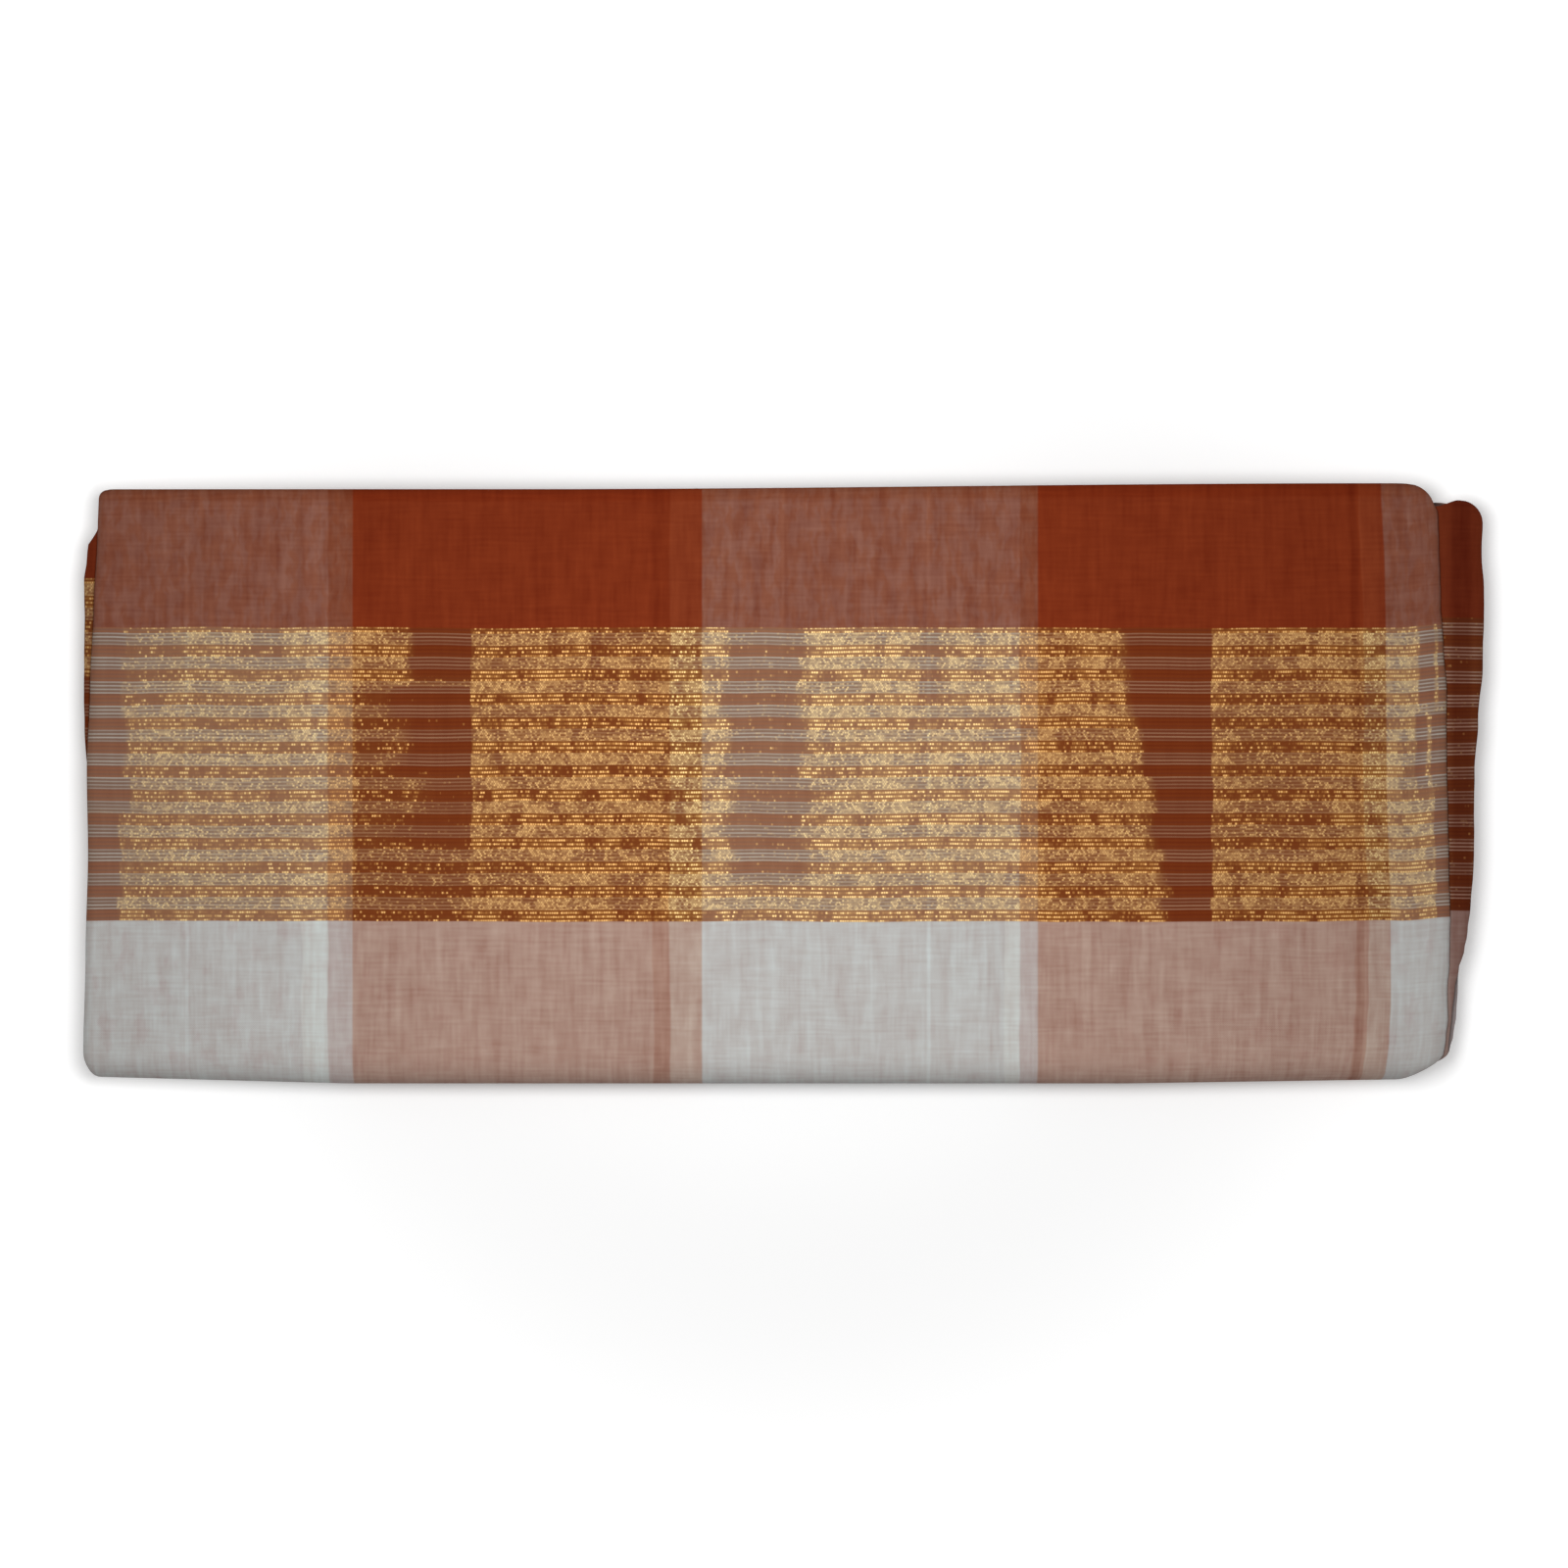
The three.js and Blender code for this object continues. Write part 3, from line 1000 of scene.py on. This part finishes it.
# Painted unlit patches of the gold. Each patch's left and right end, its near and far side, and
# how soft its left end is.
DULL_PATCHES = (
    DullPatch(-360, -319.5, 60, 164, 3, right_soft=5),
    DullPatch(-360, -323, 160, 230, 3, right_soft=2.5),
    DullPatch(-360, -292, 60, 112, 3, depth=0.6, right_soft=16),
    DullPatch(-330, -255, 112, 230, 12, depth=0.3, right_soft=14),
    DullPatch(-291, -242, 76, 230, 4, depth=0.32, right_soft=6),
    DullPatch(-262, -244, 60, 92, 6, depth=0.6, right_soft=3),
    DullPatch(-243, -222, 124, 230, 8, depth=0.3, right_soft=6),
    DullPatch(-182, -152, 60, 98, 6),
    DullPatch(-190, -152, 98, 146, 22, depth=0.97),
    DullPatch(-190, -152, 140, 180, 22, depth=0.85),
    DullPatch(-209, -186, 98, 230, 3, depth=0.6, right_soft=8),
    DullPatch(-196, -153, 168, 230, 8, depth=0.6, right_soft=5),
    DullPatch(-150, -100, 60, 80, 14, depth=0.25, right_soft=14),
    DullPatch(-93.8, -89, 60, 96, 1, depth=0.65, right_soft=1),
    DullPatch(-78, -58, 60, 80, 6, depth=0.5, right_soft=8),
    DullPatch(-28, 10.5, 62, 196, 9, depth=0.78, right_soft=8),
    DullPatch(66, 76, 60, 110, 3, depth=0.7, right_soft=3),
    DullPatch(163, 208.2, 66, 230, 7, slant=0.16),
    DullPatch(158, 190, 60, 72, 3, depth=0.9),
    DullPatch(216, 256, 92, 184, 16, depth=0.42, right_soft=20),
    DullPatch(246, 270, 96, 150, 12, depth=0.34, right_soft=10),
    DullPatch(308.4, 316.2, 60, 112, 2, right_soft=1.6),
    DullPatch(306.2, 311.8, 112, 152, 2, right_soft=1.6),
    DullPatch(318, 360, 60, 112, 1.4),
    DullPatch(313.8, 360, 112, 152, 1.4),
    DullPatch(314.6, 360, 150, 230, 1.2),
)
# Each mark's place, width and tone.
WEFT_MARKS = (
    WeftAndShadeMark(-290.5, 1.2, 0.12),
    WeftAndShadeMark(-226, 4.5, 0.07),
    WeftAndShadeMark(70.4, 1.2, 0.14),
    WeftAndShadeMark(280.5, 1.8, 0.10),
    WeftAndShadeMark(277.6, 2.4, -0.17),
    WeftAndShadeMark(290.6, 2, -0.10),
    WeftAndShadeMark(-62, 2.2, -0.06),
)
# Painted highlight and painted shade across the brown under fold's turn: lighter by the outer
# ply's end, darker in the middle, lighter beyond. Each band's place, width and tone.
UNDER_FOLD_PAINTED_SHADING = (
    WeftAndShadeMark(320.5, 7, 0.34),
    WeftAndShadeMark(329.5, 7.5, -0.26),
    WeftAndShadeMark(338.5, 5.5, 0.14),
)
# Where the weft changes on the outer ply and on the two plies below it.
OUTER_EDGES = (-209.9, -39.9, 123.5, 292.0)
FIRST_PLY_EDGES = (-221.9, -55.6, 114.9, 281.0)
SECOND_PLY_EDGES = (-1000.0, -234.3, -63.8, 107.2, 274.9, 1000.0)


def stage_finish() -> bpy.types.Material:
    """Makes the floor's plain pale finish.

    Returns:
        The material.
    """
    bench = NodeBench("pale_floor")
    place = bench.node("ShaderNodeTexCoord").outputs["Object"]
    length = bench.node("ShaderNodeVectorMath", {"operation": "LENGTH"}, {0: place})
    away = Field(bench, length.outputs["Value"])
    glow = bench.blend(away.ramp(0.2, 0.55), (0.14, 0.14, 0.14, 1.0), (0.7, 0.7, 0.7, 1.0))
    sockets = {"Base Color": (0.84, 0.84, 0.84, 1.0), "Roughness": 0.9, "Emission Color": glow}
    shader = bench.node("ShaderNodeBsdfPrincipled", {}, sockets)
    shader.inputs["Emission Strength"].default_value = 1.0
    bench.node("ShaderNodeOutputMaterial", {}, {0: shader.outputs[0]})
    return bench.material


@dataclass
class OuterPly:
    """The outermost ply: over the top, round the spine fold and back along the underside."""

    bundle: FoldedBundle
    finish: bpy.types.Material
    wall: float = 0.7
    left_roll: float = 5.0
    right_roll: float = 9.0
    roll_tip: float = 7.6
    roll_steps: int = 9
    column_pitch: float = 3.2
    width: float = 640.0
    rows: RowPlan = RowPlan(
        (0, 0.6, 1.4, 2.4, 3.6, 5.0, 6.6, 8.5, 10.8, 13.4), 2.6, 3.0, 7.0, spine_steps=26
    )
    spine_calm: float = 1.4
    edge_calm_over: float = 22.0
    turned_length: float = 0.6
    ripple_depth: float = 0.3
    ripple_length: float = 60.0
    ripple_from: float = 296.0
    tilt: float = 2.0
    tilt_from: float = 300.0
    right_zone: float = 24.0
    slant_from: float = 200.0
    slant_over: float = 90.0

    def columns(self, along: Array) -> tuple[Array, Array, Array]:
        """Each row's x, height and length of cloth, from the left tip to the right one.

        Args:
            along: The rows' distances along the ply.

        Returns:
            The x, the height and the cloth's own length coordinate, by row and column.
        """
        top = self.bundle.leaf
        start = self.bundle.panel_end(Side.LEFT, along)[:, None]
        end = self.bundle.panel_end(Side.RIGHT, along)[:, None]
        angle = np.linspace(0, math.pi / 2, self.roll_steps)[None, :]
        drop = (top - self.roll_tip) * (1 - np.sin(angle))
        left_x = start + self.left_roll * (1 - np.cos(angle))
        right_x = (end - self.right_roll * (1 - np.cos(angle)))[:, ::-1]
        count = round(self.width / self.column_pitch)
        share = np.linspace(0, 1, count)[None, 1:-1]
        flat_x = (start + self.left_roll) * (1 - share) + (end - self.right_roll) * share
        x = np.concatenate([left_x, flat_x, right_x], axis=1)
        rows = len(along)
        flat_height = np.full((rows, flat_x.shape[1]), top)
        falling = np.repeat(top - drop, rows, axis=0)
        height = np.concatenate([falling, flat_height, falling[:, ::-1]], axis=1)
        turned = np.repeat(self.turned_length * drop, rows, axis=0)
        extra = np.concatenate([-turned, np.zeros_like(flat_height), turned[:, ::-1]], axis=1)
        return x, height, x + extra

    def build(self) -> Piece:
        """Makes the ply as a thin shell with its creases and its place on the cloth.

        Returns:
            The ply.
        """
        along = self.rows.along(self.bundle)
        x, height, cloth_x = self.columns(along)
        run = np.broadcast_to(along[:, None], x.shape)
        flat_share = smooth((height - self.roll_tip) / (self.bundle.leaf - self.roll_tip))
        on_leaf = smooth(1 - np.sin(self.bundle.spine_angle(run)) * self.spine_calm)
        edge_calm = smooth(self.bundle.from_open_edge(run) / self.edge_calm_over)
        rise = crease_rise(x, run) * flat_share * on_leaf * edge_calm
        resting = run >= self.bundle.lower_start
        rise = np.where(resting, np.minimum(rise, 0.0), rise)
        ripple = self.ripple_depth * wander(run, 2.0, self.ripple_length)
        ripple = ripple * smooth((x - self.ripple_from) / self.right_zone)
        ripple = ripple * (run < self.bundle.leaf_run)
        points = self.bundle.place(x + ripple, run, height + rise)
        tilt = self.tilt * smooth((x - self.tilt_from) / self.right_zone)
        slant = read_rows(self.bundle.stripe_slant, run)
        slant = slant * smooth((x - self.slant_from) / self.slant_over)
        cloth = np.stack([(cloth_x - slant) * MM, (run + tilt) * MM], axis=-1)
        piece = build_mesh("outer_ply", [SheetGrid(points, cloth, flip=True)])
        thicken(piece, self.wall)
        piece.data.materials.append(self.finish)
        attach(piece, "root")
        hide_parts("outer_panel")
        return piece


@dataclass
class LayeredPlies:
    """The hidden plies, closed up in one block, with each ply's edge standing at its own place.

    rolls is for the left and the right end, end_depths for even and odd plies, and open_depths
    for the lower and the upper leaf.
    """

    bundle: FoldedBundle
    finish: bpy.types.Material
    low: float = 0.35
    high: float = 9.55
    plies: int = 14
    fold_depth: float = 46.0
    right_gap: tuple[float, float] = (2.15, 7.35)
    left_gap: tuple[float, float] = (4.25, 7.35)
    x_pitch: float = 7.0
    rows: RowPlan = RowPlan((0, 1.2, 3, 5.5, 9, 13), 5.0, 6.0, 6.0)
    stripe_offset: float = 167.5
    ply_slide: float = 9.0
    width: float = 650.0
    edge_zone: float = 18.0
    profile: Rows = ((0.02, 1.0), (0.18, 0.25), (0.5, 0.0), (0.82, 0.25), (0.98, 1.0))
    roll_from: float = 8.3
    roll_over: float = 1.2
    rolls: tuple[float, float] = (2.0, 3.8)
    end_depths: tuple[float, float] = (2.6, 1.2)
    end_step: float = 4.6
    end_wander: float = 1.5
    end_swing: float = 380.0
    open_depths: tuple[float, float] = (1.5, 1.1)
    open_step: float = 1.9
    open_wander: float = 0.8
    open_swing: float = 300.0

    def ply_rows(self) -> list[tuple[float, int, float]]:
        """The rows of all plies, from the mid plane outwards.

        Returns:
            Each row's height, its ply's number and how deep in the ply's groove it lies.
        """
        rows = []
        pitch = (self.high - self.low) / self.plies
        for ply in range(self.plies):
            base = self.low + ply * pitch
            for share, groove in self.profile:
                rows.append((base + share * pitch, ply, groove))
        return rows

    def end_inset(
        self, side: Side, height: float, ply: int, groove: float, along: Array
    ) -> Array:
        """How far a ply's folded end lies inside the outer ply's end.

        Args:
            side: Which end.
            height: The row's height off the mid plane.
            ply: The ply's number.
            groove: How deep in its groove the row lies, 0 to 1.
            along: The distances along the ply.

        Returns:
            The inset at each distance.
        """
        gap = self.right_gap if side is Side.RIGHT else self.left_gap
        if gap[0] < height < gap[1]:
            return np.full_like(along, self.fold_depth)
        right = side is Side.RIGHT
        seed = ply // 2 * 2.4 + (5.0 if right else 0.0)
        base = self.end_step + self.end_wander * wander(along, seed, self.end_swing)
        roll = self.rolls[right] * smooth((height - self.roll_from) / self.roll_over)
        return base + groove * self.end_depths[ply % 2] + roll

    def open_inset(self, ply: int, groove: float, x: Array, upper: bool) -> Array:
        """How far a ply's open edge lies inside the outer ply's open edge.

        Args:
            ply: The ply's number.
            groove: How deep in its groove the row lies, 0 to 1.
            x: The places along the bundle.
            upper: Whether it is the upper leaf's edge.

        Returns:
            The inset at each place.
        """
        seed = ply * 1.9 + (0.0 if upper else 3.3)
        loop = ply if upper else ply // 2
        shift = self.open_wander * math.sin(loop * 2.2 + (0.4 if upper else 1.7))
        waves = self.open_wander * wander(x, seed, self.open_swing)
        return self.open_step + shift + waves + groove * self.open_depths[upper]

    def build(self) -> Piece:
        """Makes the block from its rows, as six sides that are welded together.

        Returns:
            The block.
        """
        bundle = self.bundle
        sections = self.rows.along(bundle)
        stations = np.linspace(0, 1, round(self.width / self.x_pitch))[:, None]
        left_end = bundle.panel_end(Side.LEFT, sections)
        right_end = bundle.panel_end(Side.RIGHT, sections)
        near_upper = np.clip(1 - sections / self.edge_zone, 0, 1)
        near_lower = np.clip(1 - (bundle.ply_run - sections) / self.edge_zone, 0, 1)
        points, cloth = [], []
        for height, ply, groove in self.ply_rows():
            start = left_end + self.end_inset(Side.LEFT, height, ply, groove, sections)
            end = right_end - self.end_inset(Side.RIGHT, height, ply, groove, sections)
            x = start + (end - start) * stations
            upper = self.open_inset(ply, groove, x, True)
            lower = self.open_inset(ply, groove, x, False)
            run = sections + upper * near_upper - lower * near_lower
            offset = ply // 2 % 2 * self.stripe_offset + self.ply_slide * math.sin(ply * 3.1)
            points.append(bundle.place(x, run, height))
            cloth.append(np.stack([(x + offset) * MM, run * MM], axis=-1))
        points, cloth = np.array(points), np.array(cloth)
        every = slice(None)
        levels = ((0, True), (-1, False))
        ends = (((every, 0), False), ((every, -1), True))
        edges = (((every, every, 0), True), ((every, every, -1), False))
        sides = (*levels, *ends, *edges)
        grids = [SheetGrid(points[side], cloth[side], flip) for side, flip in sides]
        piece = build_mesh("layered_plies", grids, weld=True)
        piece.data.materials.append(self.finish)
        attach(piece, "root")
        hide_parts("inner_layers")
        return piece


@dataclass
class UnderFold:
    """A ply that comes out between the layers, turns back on itself and goes in again."""

    bundle: FoldedBundle
    finish: bpy.types.Material
    name: str
    node: str
    slot: str
    side: Side
    ends: Rows
    open_inset: float
    corner: float
    bottom: float = 4.4
    top: float = 7.2
    cloth_shift: float = 0.0
    cloth_slide: float = 0.0
    wall: float = 0.5
    root: float = 44.0
    hump_x: float = 0.0
    hump_drop: float = 0.0
    nose_steps: int = 8
    nose_reach: float = 4.2
    flat_steps: int = 18
    rows: RowPlan = RowPlan((0, 0.4, 1.0, 1.9, 3.0, 4.4, 6.2, 8.4, 11.0), 2.8, 3.2, 6.0)
    open_zone: float = 18.0
    hump_over: float = 11.0
    flat_crowding: float = 0.6
    nose_wander: float = 0.25
    nose_swing: float = 60.0
    bulge: float = 0.22
    bulge_swing: float = 90.0
    bulge_from: float = 30.0
    bulge_over: float = 20.0
    seed: float = 1.0

    def build(self) -> Piece:
        """Makes the fold as a thin shell that turns round its nose.

        Returns:
            The fold.
        """
        bundle = self.bundle
        along = self.rows.along(bundle, self.open_inset)
        inward = 1 if self.side is Side.LEFT else -1
        draw = bundle.corner_draw(bundle.from_open_edge(along) - self.open_inset, self.corner)
        nose = read_rows(self.ends, along) + inward * (draw + bundle.recess(self.side, along))
        nose = nose + self.nose_wander * wander(along, self.seed, self.nose_swing)
        root = bundle.panel_end(self.side, along) + inward * self.root
        half = (self.top - self.bottom) / 2
        middle = (self.top + self.bottom) / 2
        angle = np.linspace(math.pi / 2, -math.pi / 2, self.nose_steps * 2 + 1)[None, :]
        nose_x = nose[:, None] + inward * self.nose_reach * (1 - np.cos(angle))
        nose_height = np.repeat(middle + half * np.sin(angle), len(along), axis=0)
        share = (np.linspace(0, 1, self.flat_steps) ** self.flat_crowding)[None, :-1]
        flat_x = root[:, None] + (nose_x[:, :1] - root[:, None]) * share
        upper_height = np.full(flat_x.shape, self.top)
        lower_height = np.full(flat_x.shape, self.bottom)
        x = np.concatenate([flat_x, nose_x, flat_x[:, ::-1]], axis=1)
        height = np.concatenate([upper_height, nose_height, lower_height], axis=1)
        run = np.broadcast_to(along[:, None], x.shape)
        near_open = np.clip(1 - (run - self.open_inset) / self.open_zone, 0, 1)
        run = run + self.hump_drop * smooth((self.hump_x - x) / self.hump_over) * near_open
        away = np.abs(x - root[:, None])
        bulge = self.bulge * wander(run, self.seed + 2.0, self.bulge_swing)
        bulge = bulge * smooth((away - self.bulge_from) / self.bulge_over)
        height = height + bulge * np.clip((height - middle) / half, -1, 1)
        points = bundle.place(x, run, height)
        step = np.sqrt(np.diff(x, axis=1) ** 2 + np.diff(height, axis=1) ** 2)
        walked = np.concatenate([np.zeros((len(along), 1)), np.cumsum(step, axis=1)], axis=1)
        cloth_x = root[:, None] - inward * walked + self.cloth_shift
        cloth = np.stack([cloth_x * MM, (run + self.cloth_slide) * MM], axis=-1)
        piece = build_mesh(self.name, [SheetGrid(points, cloth, flip=self.side is Side.RIGHT)])
        thicken(piece, self.wall)
        piece.data.materials.append(self.finish)
        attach(piece, "root")
        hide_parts(self.node)
        return piece


@dataclass
class Studio:
    """The pale floor, the soft light from above and the camera straight over the bundle."""

    frame_width: float = 0.7642
    lens: float = 100.0
    sensor: float = 36.0
    focus_height: float = 0.018
    key_power: float = 4.4
    key_place: tuple[float, float, float] = (-0.02, 0.06, 0.69)
    key_size: float = 0.4
    floor_size: float = 60.0
    sky: float = 0.3

    def floor(self) -> None:
        """Lays the floor."""
        bpy.ops.object.select_all(action="DESELECT")
        bpy.ops.mesh.primitive_plane_add(size=self.floor_size, location=(0, 0, 0))
        floor = bpy.context.active_object
        floor.name = "floor"
        floor.data.materials.append(stage_finish())

    def camera(self) -> None:
        """Hangs the camera over the middle of the bundle, looking straight down."""
        away = self.frame_width * self.lens / self.sensor
        data = bpy.data.cameras.new("camera")
        data.lens = self.lens
        data.sensor_width = self.sensor
        data.clip_end = 20.0
        camera = bpy.data.objects.new("camera", data)
        camera.location = (0.0, 0.0, self.focus_height + away)
        bpy.context.scene.collection.objects.link(camera)
        bpy.context.scene.camera = camera

    def key_light(self) -> None:
        """Hangs the square soft light that faces the bundle."""
        data = bpy.data.lights.new("key", "AREA")
        data.size = self.key_size
        data.energy = self.key_power
        light = bpy.data.objects.new("key", data)
        light.location = self.key_place
        facing = Vector(self.key_place) * -1
        light.rotation_euler = facing.to_track_quat("-Z", "Y").to_euler()
        light.visible_camera = False
        bpy.context.scene.collection.objects.link(light)

    def build(self) -> None:
        """Sets up camera, floor, light and sky."""
        self.camera()
        self.floor()
        self.key_light()
        world = bpy.data.worlds.new("sky")
        world.use_nodes = True
        background = world.node_tree.nodes["Background"]
        background.inputs["Color"].default_value = (1.0, 1.0, 1.0, 1.0)
        background.inputs["Strength"].default_value = self.sky
        bpy.context.scene.world = world
        bpy.context.scene.view_settings.view_transform = "Standard"


RIGHT_UNDER_ENDS = (
    (8, 340.6), (20, 340.9), (36, 340.4), (52, 341.4), (88, 341.0), (116, 338.4), (140, 336.9),
    (184, 336.4), (207, 335.0), (219, 333.4), (228, 331.6), (236, 329.2), (246, 327.0),
    (258, 325.8), (277, 324.0), (320, 323.0), (420, 327.0), (597, 333.0),
)
RIGHT_PALE_ENDS = (
    (9, 327.0), (120, 329.5), (200, 330.6), (232, 329.9), (245, 329.1), (260, 328.2), (268, 326.8),
    (277, 324.6), (320, 322.4), (420, 325.0), (597, 329.0),
)
LEFT_UNDER_ENDS = (
    (20, -334.2), (24, -335.2), (29, -339.2), (36, -339.9), (47, -341.3), (120, -341.3),
    (142, -339.8), (170, -337.0), (277, -336.5), (420, -336.5), (540, -334.6), (597, -331.0),
)


def build_saree() -> None:
    """Builds every stretch of the cloth."""
    low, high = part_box("outer_panel")
    bundle = FoldedBundle(half_width=(high[1] - low[1]) / 2 / MM, thickness=high[2] / MM)
    outer_finish = ClothFinish(
        name="outer_cloth",
        stripe_edges=OUTER_EDGES,
        first_ply_edges=FIRST_PLY_EDGES,
        second_ply_edges=SECOND_PLY_EDGES,
        dull_patches=DULL_PATCHES,
        weft_and_shade_marks=WEFT_MARKS,
    ).build()
    under_finish = ClothFinish(
        name="under_cloth",
        stripe_edges=SECOND_PLY_EDGES,
        weft_and_shade_marks=UNDER_FOLD_PAINTED_SHADING,
        glow=0.15,
        colours=ClothColours(line=(shade(178, 167, 156), shade(192, 162, 140))),
        # Painted shade: this fold lies under the outer ply.
        depth=(0.58, 0.49, 0.50, 1.0),
    ).build()
    left_finish = ClothFinish(
        name="left_fold_cloth",
        stripe_edges=SECOND_PLY_EDGES,
        # Painted unlit gold beyond the fold's glinting rows.
        dull_patches=(DullPatch(-1000, 1000, 118, 230, 3),),
        # Painted shade: this fold lies under the outer ply.
        depth=(0.7, 0.6, 0.55, 1.0),
    ).build()
    edge_finish = ClothFinish(name="edge_cloth", stripe_edges=(), repeats=True, glow=0.4).build()

    plies = LayeredPlies(bundle, edge_finish).build()
    outer = OuterPly(bundle, outer_finish).build()
    # The ply's whole length in metres, worked out and not used; the ply's sections are 0.661 wide
    # on average.
    bundle.ply_run * MM
    folds = [
        UnderFold(
            bundle,
            under_finish,
            name="right_brown_fold",
            node="right_under_fold",
            slot="brown_fold_cloth",
            side=Side.RIGHT,
            ends=RIGHT_UNDER_ENDS,
            open_inset=8.0,
            corner=11.0,
            hump_x=329.0,
            hump_drop=3.0,
            cloth_slide=5.1,
        ),
        UnderFold(
            bundle,
            under_finish,
            name="right_sliver_fold",
            node="right_pale_fold",
            slot="pale_fold_cloth",
            side=Side.RIGHT,
            ends=RIGHT_PALE_ENDS,
            bottom=2.3,
            top=4.1,
            open_inset=12.0,
            corner=8.0,
            cloth_shift=-170.0,
            seed=2.6,
        ),
        UnderFold(
            bundle,
            left_finish,
            name="left_brick_fold",
            node="left_under_fold",
            slot="brown_fold_cloth",
            side=Side.LEFT,
            ends=LEFT_UNDER_ENDS,
            open_inset=6.0,
            corner=8.0,
            cloth_slide=24.0,
            seed=4.2,
        ),
    ]
    for piece in (plies, outer, *(fold.build() for fold in folds)):
        log.info("%s: %d faces", piece.name, len(piece.data.polygons))


def main() -> None:
    """Builds the studio and the saree."""
    logging.basicConfig(level=logging.INFO, format="%(name)s: %(message)s")
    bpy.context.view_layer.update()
    Studio().build()
    build_saree()


if __name__ == "__main__":
    main()
